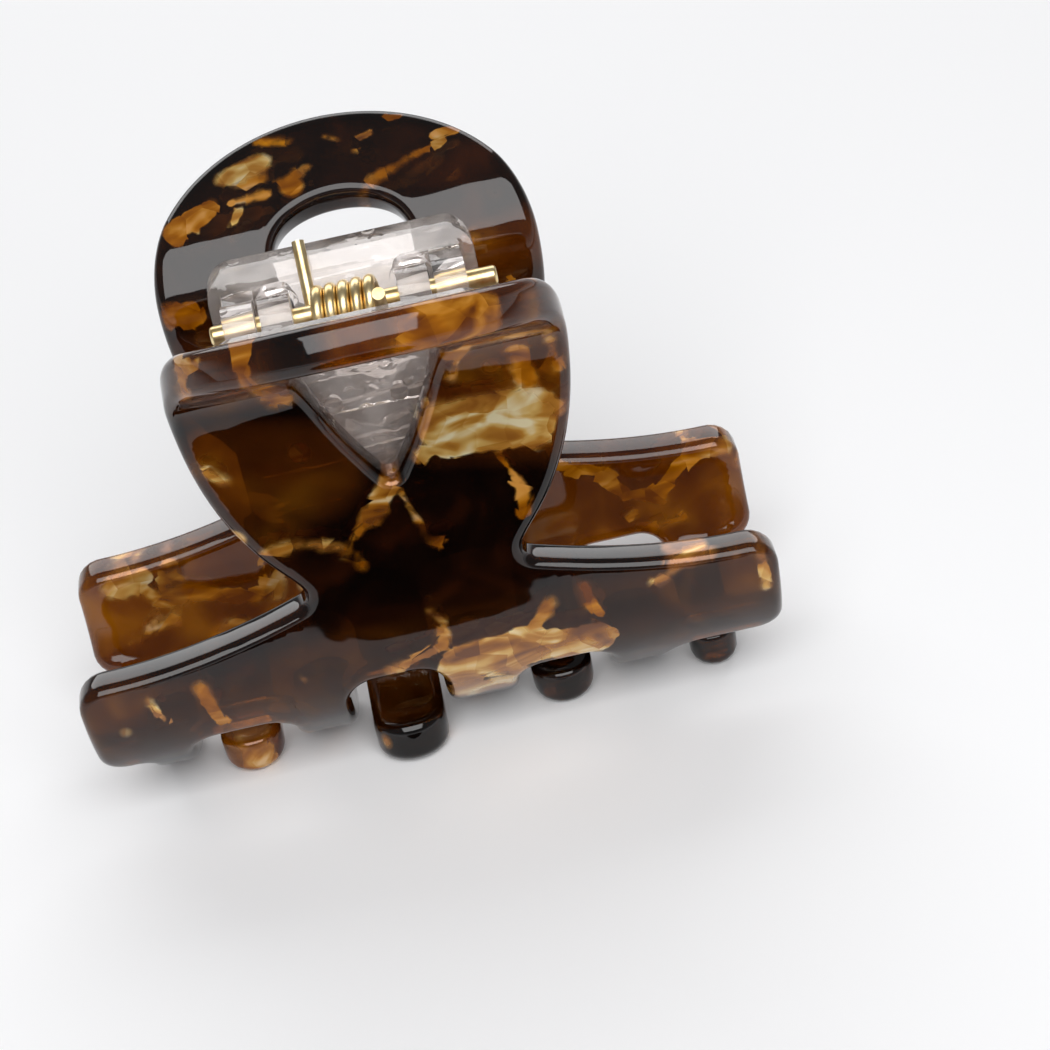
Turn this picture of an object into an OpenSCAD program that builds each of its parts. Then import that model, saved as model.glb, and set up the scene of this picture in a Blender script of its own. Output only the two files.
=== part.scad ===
// Claw clip (hair claw): two bent acetate jaws on a sprung pin hinge.
// X runs along the jaws, Z is up, the clip stands closed on its teeth.
// The front jaw is on the -Y side. The hinge pin lies along X.

/* [Jaws] */
// length of each jaw's toothed bar
bar_len = 60; // [50:1:80]
// thickness of the acetate sheet
sheet_t = 3.6; // [3:0.1:4.5]
// radius polished onto the rims of the sheet
rim_r = 1.0; // [0.5:0.1:1.3]
// distance from the middle plane to the middle of the sheet, at the bar
wall_y = 8.4; // [7:0.1:10]
// bend radius of the toothed part, middle of the sheet
tooth_bend_r = 13; // [11:0.5:16]
// bend radius where the finger paddle flares out
flare_bend_r = 9; // [8:0.5:11]
// lean of the finger paddle from upright, at its top
flare_deg = 61; // [50:1:65]
// half width of the finger paddle
paddle_w = 16.2; // [14:0.1:19]
// half width of the waist between bar and paddle
waist_w = 9.2; // [8:0.1:11]
// half width of the finger hole
hole_w = 5.8; // [5:0.1:7]

// height of the bar at its ends, measured round the bend
bar_h = 12.5; // [11:0.5:14]
// height of the waist's notches, measured up the sheet from the bar's edge
waist_v = 17; // [16:0.1:18]
// height where the flare starts, measured up the sheet
flare_v = 33; // [31:0.5:34]
// height of the widest part of the paddle, measured up the sheet
widest_v = 36.5; // [35:0.5:38]
// height of the paddle's rim, measured up the sheet
top_v = 50.7; // [47:0.1:53]
// height of the finger hole's point, measured up the sheet
hole_low = 26.2; // [25:0.1:28]
// height of the finger hole's arch, measured up the sheet
hole_high = 42.4; // [41:0.1:44]

/* [Teeth] */
// reach of the ordinary teeth below the bar's lower corners, measured round the bend
tooth_len = 9.6; // [8:0.1:11]
// reach of the long tooth near the middle of each jaw
long_tooth = 13; // [11:0.1:14]
// half width of the ordinary teeth
tooth_w = 2.7; // [2.2:0.1:3]
// height of the bar's edge outside the end teeth
end_v = 1.8; // [0:0.1:3]
// height of the arches beside the two outer pairs of teeth
arch_v = 4.3; // [3:0.1:5]
// height of the arch that the other jaw's long tooth crosses
deep_v = 7.2; // [5:0.1:7.5]

/* [Hinge] */
// height of the hinge pin above the table
hinge_z = 41.4; // [40:0.1:43]
// place of the hinge along the jaws, cemented a little off their middle
hinge_x = -0.6; // [-1:0.1:1]
// diameter of the hinge pin
pin_d = 1.6; // [1.2:0.1:2]
// radial play of the pin in the knuckles of the front plate
pin_play = 0.05; // [0.02:0.01:0.1]
// outer radius of the knuckles
lug_r = 2.2; // [1.9:0.1:2.4]
// width of each knuckle
lug_w = 2.6; // [2:0.1:3]
// side play between neighbouring knuckles
lug_gap = 0.45; // [0.3:0.05:0.6]
// height of the hinge plates' lower edge, measured up the sheet
plate_low = 22.6; // [20:0.2:24]
// height of the hinge plates' upper edge above the pin
plate_rise = 2.5; // [2:0.1:3]
// thickness of the clear hinge plates
plate_t = 1.8; // [1.4:0.1:2]
// depth of the plates' windows below the pin
window_low = 2.3; // [1.5:0.1:3]
// rise of the plates' windows above the pin
window_rise = 0.3; // [0.1:0.05:1]

/* [Spring] */
// wire diameter of the torsion spring
wire_d = 1.05; // [0.8:0.05:1.2]
// radius of the coil, to the middle of the wire
coil_r = 1.75; // [1.6:0.05:1.9]
// turns in the coil
turns = 5; // [4:1:6]

/* [Hidden] */

// ---- the bent sheet: v is measured up the sheet from the level of the bar's datum edge
lean0 = -3;
root_deg = 48;
rad = 180 / PI;
function mix(a, b, t) = a + (b - a) * t;
function backwards(p) = [for (i = [len(p) - 1 : -1 : 0]) p[i]];
bend_v = (root_deg - lean0) / rad * tooth_bend_r;
flare_end_v = flare_v + flare_bend_r * (flare_deg - lean0) / rad;
tooth_cz = sheet_t / 2 + tooth_bend_r;

// direction into the clip from the sheet at lean a, and direction up the sheet
function inward(a) = [cos(a), sin(a)];
function along(a) = [-sin(a), cos(a)];
c1 = [-wall_y + tooth_bend_r * cos(lean0), tooth_cz];
m1 = c1 - tooth_bend_r * inward(lean0);
m2 = m1 + (flare_v - bend_v) * along(lean0);
c2 = m2 - flare_bend_r * inward(lean0);
m3 = c2 + flare_bend_r * inward(flare_deg);
function lean(v) =
    v < bend_v ? lean0 + (bend_v - v) / tooth_bend_r * rad :
    v < flare_v ? lean0 :
    v < flare_end_v ? lean0 + (v - flare_v) / flare_bend_r * rad : flare_deg;
function mid(v) =
    v < bend_v ? c1 - tooth_bend_r * inward(lean(v)) :
    v < flare_v ? m1 + (v - bend_v) * along(lean0) :
    v < flare_end_v ? c2 + flare_bend_r * inward(lean(v)) :
    m3 + (v - flare_end_v) * along(flare_deg);
// point of the sheet at x, v and depth n (positive towards the inside)
function on_sheet(x, v, n) =
    let (q = mid(v) + n * inward(lean(v)))
    [x, q[0], q[1]];

// ---- outline of the jaw, one rim radius inside the finished edge
r = rim_r;
bar_w = bar_len / 2 - r;
corner = 1.5;
wing_x = bar_w - corner;
wing_end = bar_h - r;
foot_v = end_v + r;
notch = 1.4;
notch_i = notch + r;
notch_x = waist_w + notch;
// the upper edge of the bar sweeps up from each end to the notch
sweep_x = notch_x + notch_i * cos(255);
sweep_v = waist_v + notch_i * sin(255);
function wing_v(x) = mix(wing_end, sweep_v, pow((wing_x - x) / (wing_x - sweep_x), 1.9));
// half width of the paddle, an egg that narrows down to the waist
pad_w = paddle_w - r;
pad_low = widest_v - waist_v + 2.1;
pad_up = top_v - widest_v - r;
function pad(v) =
    let (t = v < widest_v ? (widest_v - v) / pad_low : (v - widest_v) / pad_up)
    pad_w * sqrt(1 - t * t);

// finger hole, one rim radius outside its finished edge
hole_i = hole_w + r;
hole_v = hole_high - 4;
arch_h = hole_high + r - hole_v;
point_r = 1.8;
point_v = hole_low - r;
side_v = point_v + point_r * (1 - cos(53));
side_w = point_r * sin(53);
function side(v) = mix(hole_i, side_w, pow((hole_v - v) / (hole_v - side_v), 1.5));

// rows [height, half width] up the jaw from the bar's lower edge
notch_end = waist_v + notch_i * sin(150);
bar_rows = concat(
    [for (b = [0 : 30 : 90]) [foot_v + corner * (1 - cos(b)), wing_x + corner * sin(b)]],
    [for (i = [1 : 4]) [mix(foot_v + corner, wing_end - corner, i / 5), bar_w]],
    [for (b = [0 : 30 : 90]) [wing_end - corner * (1 - sin(b)), wing_x + corner * cos(b)]],
    [for (i = [1 : 8]) let (x = mix(wing_x, sweep_x, i / 9)) [wing_v(x), x]],
    [for (b = [255, 230, 205, 180, 165, 150]) [waist_v + notch_i * sin(b), notch_x + notch_i * cos(b)]],
    [for (i = [1 : 3]) let (v = mix(notch_end, point_v, i / 3.5)) [v, pad(v)]]);
// rows [height, half width of the jaw, half width of the hole]
hole_rows = concat(
    [for (b = [24, 53]) let (v = point_v + point_r * (1 - cos(b))) [v, pad(v), point_r * sin(b)]],
    [for (i = [1 : 10]) let (v = mix(side_v, hole_v, i / 10)) [v, pad(v), side(v)]],
    [for (b = [12 : 11.5 : 82]) let (v = hole_v + arch_h * sin(b)) [v, pad(v), hole_i * cos(b)]]);
// rows over the top of the paddle
last_v = hole_rows[len(hole_rows) - 1][0];
cap_deg = asin((last_v - widest_v) / pad_up);
cap_rows = [for (i = [1 : 8]) let (b = mix(cap_deg, 86, i / 8)) [widest_v + pad_up * sin(b), pad_w * cos(b)]];

rows = concat(bar_rows, [for (h = hole_rows) [h[0], h[1]]], cap_rows);
n_rows = len(rows);
ring_a = len(bar_rows);
n_hole = len(hole_rows);

// ---- teeth [x, half width, reach] and the arches left and right of each
root_r = 2.0;
arch_r = 3.4;
tooth_pitch = (bar_len - 4) / 4;
end_w = tooth_w - 0.6;
end_x = min(1.75 * tooth_pitch, wing_x - root_r - (end_w - r) - 0.3);
teeth = [[-end_x, end_w, tooth_len - 0.5],
         [-0.75 * tooth_pitch, tooth_w, tooth_len],
         [0.25 * tooth_pitch, tooth_w + 0.5, long_tooth],
         [1.25 * tooth_pitch, tooth_w, tooth_len]];
arches = [end_v, arch_v, deep_v, arch_v, end_v];
fillets = [root_r, arch_r, arch_r, arch_r, arch_r];
// one flank of tooth t, from arch k beside it down to the tip: [height, half width]
function flank(t, k) =
    let (w = t[1] - r, tip = r - t[2], up = tip + w, f = fillets[k],
         low = arches[k] + r - f, steps = ceil((low - up) / 1.4))
    concat(
        [for (b = [90 : -22.5 : 0]) [low + f * sin(b), w + f * (1 - cos(b))]],
        [for (i = [1 : steps - 1]) [mix(low, up, i / steps), w]],
        [for (b = [90, 66, 42, 20]) [tip + w * (1 - cos(b)), w * sin(b)]]);
left = [for (k = [0 : 3]) flank(teeth[k], k)];
right = [for (k = [0 : 3]) flank(teeth[k], k + 1)];
// the loop's points before tooth k: one corner, earlier teeth and the arches' middles
function t_start(k) = k == 0 ? 1 : t_start(k - 1) + len(left[k - 1]) + len(right[k - 1]) + 1;
br = t_start(4) - 1;
function arch_x(k) =
    (teeth[k - 1][0] + teeth[k - 1][1] + teeth[k][0] - teeth[k][1]) / 2;

outer = concat(
    [[-rows[0][1], rows[0][0]]],
    [for (k = [0 : 3])
        for (p = concat(
            k == 0 ? [] : [[arch_x(k), arches[k] + r]],
            [for (q = left[k]) [teeth[k][0] - q[1], q[0]]],
            [for (q = backwards(right[k])) [teeth[k][0] + q[1], q[0]]])) p],
    [for (i = [0 : n_rows - 1]) [rows[i][1], rows[i][0]]],
    [for (i = [n_rows - 1 : -1 : 1]) [-rows[i][1], rows[i][0]]]);
inner = concat(
    [for (i = [0 : n_hole - 1]) [-hole_rows[i][2], hole_rows[i][0]]],
    [for (i = [n_hole - 1 : -1 : 0]) [hole_rows[i][2], hole_rows[i][0]]]);

// unit normal pair joined at each point, so a stepped-out loop keeps its distance
function turn(e) = [e[1], -e[0]] / norm(e);
function out_dir(p, i) =
    let (n = len(p),
         a = turn(p[i] - p[(i + n - 1) % n]),
         b = turn(p[(i + 1) % n] - p[i]))
    (a + b) / (1 + a * b);

// section of the rim: [step outwards, depth]
rim = concat(
    [for (a = [0 : 30 : 90]) [r * sin(a), -(sheet_t / 2 - r) - r * cos(a)]],
    [for (a = [0 : 30 : 90]) [r * cos(a), (sheet_t / 2 - r) + r * sin(a)]]);
n_rim = len(rim);
function skin(loop) =
    [for (j = [0 : n_rim - 1]) for (i = [0 : len(loop) - 1])
        let (q = loop[i] + rim[j][0] * out_dir(loop, i))
        on_sheet(q[0], q[1], rim[j][1])];
function band(n, base) =
    [for (j = [0 : n_rim - 2]) for (i = [0 : n - 1])
        let (k = (i + 1) % n, a = base + j * n, b = a + n)
        for (f = [[a + i, b + k, b + i], [a + i, a + k, b + k]]) f];

no = len(outer);
nh = len(inner);
hb = n_rim * no;
// the flat faces, strip by strip, as corners of the loops
function rt(i) = br + i;
function lf(i) = (br + 2 * n_rows - 1 - i) % no;
function hl(i) = hb + i;
function hr(i) = hb + 2 * n_hole - 1 - i;
function fan(p) = [for (i = [1 : len(p) - 2]) [p[0], p[i], p[i + 1]]];
// seams up the sheet from the middle of each inner arch to row top_row
top_row = 8;
seam = [for (k = [1 : 3])
    let (low = arches[k] + r, high = rows[top_row][0], n = ceil((high - low) / 1.4))
    [for (i = [0 : n - 1]) [arch_x(k), mix(high, low, i / n)]]];
sb = hb + n_rim * nh;
seam_len = [for (q = seam) len(q)];
n_seam = seam_len[0] + seam_len[1] + seam_len[2];
function seam_start(k) = sb + (k > 1 ? seam_len[0] : 0) + (k > 2 ? seam_len[1] : 0);
seam_points = concat(seam[0], seam[1], seam[2]);
function seam_down(k) =
    concat([for (i = [0 : seam_len[k - 1] - 1]) seam_start(k) + i], [t_start(k) - 1]);
// the two sides of each tooth's column as corners, from row top_row down to the tip
function column_left(k) = concat(
    k == 0 ? [for (i = [top_row : -1 : 1]) lf(i)] : seam_down(k),
    k == 0 ? [0] : [],
    [for (i = [0 : len(left[k]) - 1]) t_start(k) + i]);
function column_right(k) = concat(
    k == 3 ? [for (i = [top_row : -1 : 0]) rt(i)] : seam_down(k + 1),
    [for (i = [0 : len(right[k]) - 1]) t_start(k) + len(left[k]) + len(right[k]) - 1 - i]);
function high(q) = q < sb ? outer[q][1] : seam_points[q - sb][1];
// triangles between two such sides, stepping down whichever is the higher
function zip(a, b, i, j) =
    i == len(a) - 1 && j == len(b) - 1 ? [] :
    j == len(b) - 1 || (i < len(a) - 1 && high(a[i + 1]) >= high(b[j + 1])) ?
        concat([[a[i], a[i + 1], b[j]]], zip(a, b, i + 1, j)) :
        concat([[a[i], b[j + 1], b[j]]], zip(a, b, i, j + 1));
ring_b = ring_a + n_hole - 1;
function strip(i) =
    i == top_row ? fan(concat(
        [lf(i + 1), lf(i)], [for (k = [1 : 3]) seam_start(k)], [rt(i), rt(i + 1)])) :
    i == ring_a - 1 ? fan([lf(i), rt(i), rt(i + 1), hr(0), hl(0), lf(i + 1)]) :
    i == ring_b ? fan([lf(i + 1), lf(i), hl(n_hole - 1), hr(n_hole - 1), rt(i), rt(i + 1)]) :
    i >= ring_a && i < ring_b ?
        concat(fan([lf(i), hl(i - ring_a), hl(i + 1 - ring_a), lf(i + 1)]),
               fan([hr(i - ring_a), rt(i), rt(i + 1), hr(i + 1 - ring_a)])) :
    fan([lf(i), rt(i), rt(i + 1), lf(i + 1)]);
flat = concat(
    [for (i = [top_row : n_rows - 2]) for (f = strip(i)) f],
    [for (k = [0 : 3]) for (f = zip(column_left(k), column_right(k), 0, 0)) f]);
// the same triangles on the sheet's inner face, turned over
function lift(q) =
    q < hb ? q + (n_rim - 1) * no : q < sb ? q + (n_rim - 1) * nh : q + n_seam;
function seams(n) = [for (p = seam_points) on_sheet(p[0], p[1], n)];

module jaw() {
    polyhedron(
        points = concat(skin(outer), skin(inner), seams(-sheet_t / 2), seams(sheet_t / 2)),
        faces = concat(
            band(no, 0),
            band(nh, hb),
            [for (f = flat) [f[0], f[2], f[1]]],
            [for (f = flat) [lift(f[0]), lift(f[1]), lift(f[2])]]),
        convexity = 10);
}

module front_jaw() {
    color("#3a1d0c") jaw();
}

module rear_jaw() {
    color("#3a1d0c") rotate([0, 0, 180]) jaw();
}

// ---- the spring's coil and the knuckles share the pin
leg_len = 6.6;
pin_z = hinge_z;
// film of cement between plate and jaw
glue = 0.15;
face_r = flare_bend_r + sheet_t / 2 + glue;
plate_top = hinge_z + plate_rise;
// upper inner edge of a plate, from the pin, where the spring's leg rests
edge_y = -c2[0] - sqrt(pow(face_r + plate_t, 2) - pow(plate_top - c2[1], 2));
edge_far = norm([edge_y, plate_rise]);
leg_deg = atan2(plate_rise, edge_y) + asin((coil_r + wire_d / 2 + 0.07) / edge_far);
turn_sweep = 360 * turns + 2 * leg_deg;
pitch = wire_d + 0.04;
coil_half = pitch * turn_sweep / 720;
front_lug_x = coil_half + wire_d / 2 + 1 + lug_w / 2;
rear_lug_x = front_lug_x + lug_w + lug_gap;
plate_w = rear_lug_x + lug_w / 2 + 1.15;
pin_half = plate_w + 0.1;

// ---- hinge plates: clear moulding on the inner face of each jaw
$fn = 64;
plate_corner = 2.2;
rib_h = 0.6;
rib_w = 0.9;
flat_h = flare_v - plate_low;
foot_p = on_sheet(0, plate_low, sheet_t / 2 + glue);

// moves children onto the inner face of the front jaw, Y inwards, Z up the sheet
module on_face() {
    translate(foot_p)
        rotate([lean0, 0, 0])
            children();
}

// upright block with its four corners rounded, seen along Y
module rounded_block(w, z0, z1, rr) {
    translate([-w, -30, z0 + rr])
        cube([2 * w, 60, z1 - z0 - 2 * rr]);
    translate([-w + rr, -30, z0])
        cube([2 * w - 2 * rr, 60, z1 - z0]);
    for (x = [-w + rr, w - rr])
        for (z = [z0 + rr, z1 - rr])
            translate([x, 0, z])
                rotate([90, 0, 0])
                    cylinder(r = rr, h = 60, center = true);
}

// side profile: flat on the upright wall, then round the inside of the flare
lap = sheet_t / 2 + glue;
stops = concat([plate_low - 1, flare_v], [for (i = [1 : 15]) flare_v + i * 0.75]);
function edge_at(n) = [for (v = stops) let (p = on_sheet(0, v, n)) [p[1], p[2]]];

// skin of the plate between two depths from the middle of the sheet
module shell(n0, n1) {
    rotate([90, 0, 90])
        linear_extrude(height = 2 * plate_w, center = true)
            polygon(concat(edge_at(n0), backwards(edge_at(n1))));
}

// the window's opening, or the outside of its frame
module window(frame) {
    rounded_block(lug_w / 2 + 0.1 + frame, pin_z - window_low - frame,
                  pin_z + window_rise + frame, 0.9 + frame);
}

module plate_body(slot_x) {
    intersection() {
        shell(lap, lap + plate_t);
        rounded_block(plate_w, foot_p[2], plate_top, plate_corner);
    }
    // raised frames round the two windows
    for (x = [-slot_x, slot_x])
        intersection() {
            shell(lap + plate_t / 2, lap + plate_t + 0.4);
            translate([x, 0, 0])
                window(0.45);
        }
    on_face()
        for (i = [0 : 2])
            translate([-plate_w + 1.6, plate_t - 0.5, mix(1, flat_h - 2.4, i / 2)])
                cube([2 * plate_w - 3.2, 0.5 + rib_h, rib_w]);
}

// knuckle round the pin, on a web that runs back into the plate
module lug(x) {
    web_y = c2[0] + face_r + 0.3;
    translate([x, 0, pin_z])
        rotate([0, 90, 0])
            cylinder(r = lug_r, h = lug_w, center = true);
    translate([x - lug_w / 2, web_y, pin_z - lug_r])
        cube([lug_w, -web_y, lug_r + 1]);
}

module plate(lug_x, slot_x, bore_d) {
    difference() {
        union() {
            lug(lug_x);
            lug(-lug_x);
            plate_body(slot_x);
        }
        translate([0, 0, pin_z])
            rotate([0, 90, 0])
                cylinder(d = bore_d, h = 3 * plate_w, center = true);
        // windows opposite the other plate's knuckles
        for (x = [-slot_x, slot_x])
            translate([x, 0, 0])
                window(0);
        // two blind sockets on the cemented side
        on_face()
            for (x = [-2.7, 2.7])
                translate([x, 1, flat_h - 1])
                    rotate([90, 0, 0])
                        cylinder(d = 1.5, h = 3);
    }
}

module front_hinge_plate() {
    color("#dfe3e6")
        translate([hinge_x, 0, 0])
            plate(front_lug_x, rear_lug_x, pin_d + 2 * pin_play);
}

module rear_hinge_plate() {
    color("#dfe3e6")
        translate([hinge_x, 0, 0])
            rotate([0, 0, 180])
                plate(rear_lug_x, front_lug_x, pin_d);
}

module hinge_pin() {
    color("#c9a24a")
        translate([hinge_x, 0, pin_z])
            rotate([0, 90, 0])
                cylinder(d = pin_d, h = 2 * pin_half, center = true);
}

// ---- torsion spring: close coil on the pin and two straight legs
n_coil = ceil(turn_sweep / 18);
n_wire = 10;
// angle about the pin where the rear leg leaves the coil
a0 = leg_deg - 90;
// section of the wire at step i of the coil, moved d along the leg
function wire_ring(i, d) =
    let (a = a0 - turn_sweep * i / n_coil,
         x = hinge_x - coil_half + 2 * coil_half * i / n_coil,
         s = i == 0 ? 1 : -1)
    [for (j = [0 : n_wire - 1])
        let (q = coil_r + wire_d / 2 * cos(360 * j / n_wire))
        [x + wire_d / 2 * sin(360 * j / n_wire),
         q * cos(a) + s * d * cos(leg_deg),
         hinge_z + q * sin(a) + d * sin(leg_deg)]];
wire = concat(
    wire_ring(0, leg_len),
    [for (i = [0 : n_coil]) for (p = wire_ring(i, 0)) p],
    wire_ring(n_coil, leg_len));
n_rings = n_coil + 3;

// rear leg, coil and front leg in one length of wire
module torsion_spring() {
    color("#d9b45a")
        polyhedron(
            points = wire,
            faces = concat(
                [for (i = [0 : n_rings - 2]) for (j = [0 : n_wire - 1])
                    let (k = (j + 1) % n_wire, a = i * n_wire, b = a + n_wire)
                    for (f = [[a + j, b + k, a + k], [a + j, b + j, b + k]]) f],
                [[for (j = [0 : n_wire - 1]) j]],
                [[for (j = [n_wire - 1 : -1 : 0]) (n_rings - 1) * n_wire + j]]),
            convexity = 10);
}

front_jaw();
rear_jaw();
front_hinge_plate();
rear_hinge_plate();
hinge_pin();
torsion_spring();
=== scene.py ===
import bmesh
import bpy
import math
import numpy as np
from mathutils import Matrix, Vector
from mathutils.geometry import delaunay_2d_cdt


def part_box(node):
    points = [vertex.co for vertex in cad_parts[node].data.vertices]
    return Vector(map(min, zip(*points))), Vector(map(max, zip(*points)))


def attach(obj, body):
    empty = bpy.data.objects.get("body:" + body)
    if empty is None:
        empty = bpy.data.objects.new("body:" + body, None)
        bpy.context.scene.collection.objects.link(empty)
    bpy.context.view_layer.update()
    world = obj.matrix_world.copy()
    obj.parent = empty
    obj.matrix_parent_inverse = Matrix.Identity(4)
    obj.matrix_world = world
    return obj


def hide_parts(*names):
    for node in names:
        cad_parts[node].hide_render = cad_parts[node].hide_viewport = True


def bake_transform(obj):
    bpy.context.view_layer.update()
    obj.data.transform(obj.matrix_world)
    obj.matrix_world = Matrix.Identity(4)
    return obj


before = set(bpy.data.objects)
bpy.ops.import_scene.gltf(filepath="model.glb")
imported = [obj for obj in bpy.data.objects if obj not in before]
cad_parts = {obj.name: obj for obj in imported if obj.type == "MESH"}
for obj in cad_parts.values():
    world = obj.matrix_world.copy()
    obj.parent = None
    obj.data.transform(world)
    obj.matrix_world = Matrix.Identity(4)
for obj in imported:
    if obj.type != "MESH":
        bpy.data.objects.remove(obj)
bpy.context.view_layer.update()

# ---- Jaw blank -----------------------------------------------------------
# Both jaws start as the same flat blank, cut from 3.6 mm cellulose acetate sheet
# and tumbled until the rims are round. Lengths are in mm: x along the bar, v up the
# sheet from the line that the teeth reach down from, n through it to the clip's inside.
MM = 0.001
sheet_t = 3.6
rim_r = 1.0
# toothed bar: half its length, its height at the ends, the round of its corners
bar_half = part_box("front_jaw")[1][0] / MM
bar_h = 12.5
corner = 1.5
# the bar's upper edge sweeps up to the notch; the higher the power, the later it rises
sweep_power = 1.9
# waist: half width, height, radius of the notches, angles where they meet the edges
waist_w = 9.2
waist_v = 17.0
notch = 1.4
notch_foot_deg = 255
notch_top_deg = 150
# the edge leaves the notch at this slope and joins the paddle this much higher
notch_slope = 0.577
blend_h = 2.6
# finger paddle: half width, where it is widest, how far below the waist its egg shape ends
paddle_w = 16.2
widest_v = 36.5
foot_drop = 2.1
# its rim: a hair under the solid's 50.7, so that the rounder rim stays inside its box
top_v = 50.66
# teardrop hole: half width, point, top, height of its arch
hole_w = 5.8
hole_low = 26.2
hole_high = 42.4
hole_arch = 4.0
# its point: the radius, how far round it goes, and the power of the sides' curve
point_r = 1.8
point_turn = math.radians(53)
side_power = 1.5
# teeth: half width and reach of the ordinary ones, reach of the long one
tooth_w = 2.7
tooth_len = 9.6
long_tooth = 13.0
# length of bar that the four tooth pitches leave over, and flat left beside an end tooth
pitch_rest = 4
end_flat = 0.3
# bar's lower edge outside the end teeth and in the arches, and the radii beside the teeth
end_v = 1.8
arch_v = 4.3
deep_v = 7.2
root_r = 2.0
arch_r = 3.4
# steps in each curve of the outline, and spacing of points on its arcs
sweep_steps = 120
blend_steps = 20
flank_steps = 180
crown_steps = 240
side_steps = 140
fillet_points = 24
arc_step = 0.1
# spacing of the mesh points along the whole outline, and steps in the rounded rim
edge_step = 0.42
rim_steps = 6


def arc(cx, cv, radius, start, end, squash=1.0):
    """Points of an arc in the sheet, angles in degrees; squash is its height over its width."""
    count = max(4, int(abs(math.radians(end - start)) * radius / arc_step))
    turns = [math.radians(start + (end - start) * i / count) for i in range(count + 1)]
    return [(cx + radius * math.cos(a), cv + squash * radius * math.sin(a)) for a in turns]


def evenly(loop, step):
    """The closed loop again, with points the same distance apart."""
    p = np.array(loop + loop[:1])
    run = np.concatenate([[0], np.cumsum(np.hypot(*np.diff(p, axis=0).T))])
    at = np.linspace(0, run[-1], int(run[-1] / step), endpoint=False)
    return np.stack([np.interp(at, run, p[:, 0]), np.interp(at, run, p[:, 1])], 1)


# right-hand edge, one rim radius in: the bar's end, then the sweep up to the notch
wing_x = bar_half - rim_r - corner
wing_end = bar_h - rim_r
notch_x = waist_w + notch
notch_i = notch + rim_r
sweep_x = notch_x + notch_i * math.cos(math.radians(notch_foot_deg))
sweep_v = waist_v + notch_i * math.sin(math.radians(notch_foot_deg))
right = arc(wing_x, end_v + rim_r + corner, corner, -90, 0)
right += arc(wing_x, wing_end - corner, corner, 0, 90)
for i in range(1, sweep_steps):
    t = i / sweep_steps
    right.append((wing_x + (sweep_x - wing_x) * t, wing_end + (sweep_v - wing_end) * t ** sweep_power))
right += arc(notch_x, waist_v, notch_i, notch_foot_deg, notch_top_deg)
# a smooth curve from the notch to the egg-shaped paddle, then the paddle itself
pad_w = paddle_w - rim_r
pad_low = widest_v - waist_v + foot_drop
pad_up = top_v - widest_v - rim_r
notch_top = right[-1]
join_v = notch_top[1] + blend_h
join_x = pad_w * math.sqrt(1 - ((widest_v - join_v) / pad_low) ** 2)
join_slope = pad_w ** 2 * (widest_v - join_v) / (pad_low ** 2 * join_x)
rise = join_v - notch_top[1]
for i in range(1, blend_steps):
    t = i / blend_steps
    x = ((2 * t ** 3 - 3 * t ** 2 + 1) * notch_top[0] + (t ** 3 - 2 * t ** 2 + t) * rise * notch_slope
         + (3 * t ** 2 - 2 * t ** 3) * join_x + (t ** 3 - t ** 2) * rise * join_slope)
    right.append((x, notch_top[1] + rise * t))
for i in range(flank_steps + 1):
    v = join_v + (widest_v - join_v) * i / flank_steps
    right.append((pad_w * math.sqrt(1 - ((widest_v - v) / pad_low) ** 2), v))
for i in range(1, crown_steps):
    a = math.radians(90 * i / crown_steps)
    right.append((pad_w * math.cos(a), widest_v + pad_up * math.sin(a)))

# four teeth with round tips: x, half width, reach, and the bar's edge and the radius on
# the left and on the right of it; the end tooth is slimmer and the long one broader
tooth_pitch = (2 * bar_half - pitch_rest) / 4
end_w = tooth_w - 0.6
end_x = min(1.75 * tooth_pitch, wing_x - root_r - (end_w - rim_r) - end_flat)
teeth = [(-end_x, end_w, tooth_len - 0.5, (end_v, root_r), (arch_v, arch_r)),
         (-0.75 * tooth_pitch, tooth_w, tooth_len, (arch_v, arch_r), (deep_v, arch_r)),
         (0.25 * tooth_pitch, tooth_w + 0.5, long_tooth, (deep_v, arch_r), (arch_v, arch_r)),
         (1.25 * tooth_pitch, tooth_w, tooth_len, (arch_v, arch_r), (end_v, arch_r))]
foot = []
quarter = np.linspace(0, math.pi / 2, fillet_points)
for x, half, reach, (left_v, left_r), (right_v, right_r) in teeth:
    w = half - rim_r
    foot += [(x - w - left_r * (1 - math.sin(a)), left_v + rim_r - left_r * (1 - math.cos(a)))
             for a in quarter]
    foot += arc(x, rim_r - reach + w, w, 180, 360)
    foot += [(x + w + right_r * (1 - math.cos(a)), right_v + rim_r - right_r * (1 - math.sin(a)))
             for a in quarter]
outer = foot + right + [(0.0, top_v - rim_r)] + [(-x, v) for x, v in reversed(right)]

# teardrop finger hole, one rim radius outside its finished edge: its right half from the
# point up, which starts and ends just beside the middle so that no point comes twice
hole_i = hole_w + rim_r
hole_v = hole_high - hole_arch
point_v = hole_low - rim_r
side_v = point_v + point_r * (1 - math.cos(point_turn))
side_w = point_r * math.sin(point_turn)
hole_side = [(point_r * math.sin(a), point_v + point_r * (1 - math.cos(a)))
             for a in np.linspace(0.02, point_turn, 14)]
for i in range(1, side_steps):
    v = side_v + (hole_v - side_v) * i / side_steps
    hole_side.append((hole_i + (side_w - hole_i) * ((hole_v - v) / (hole_v - side_v)) ** side_power, v))
hole_side += arc(0, hole_v, hole_i, 0, 89.5, (hole_high + rim_r - hole_v) / hole_i)
hole = [(-x, v) for x, v in hole_side] + hole_side[::-1]


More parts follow.
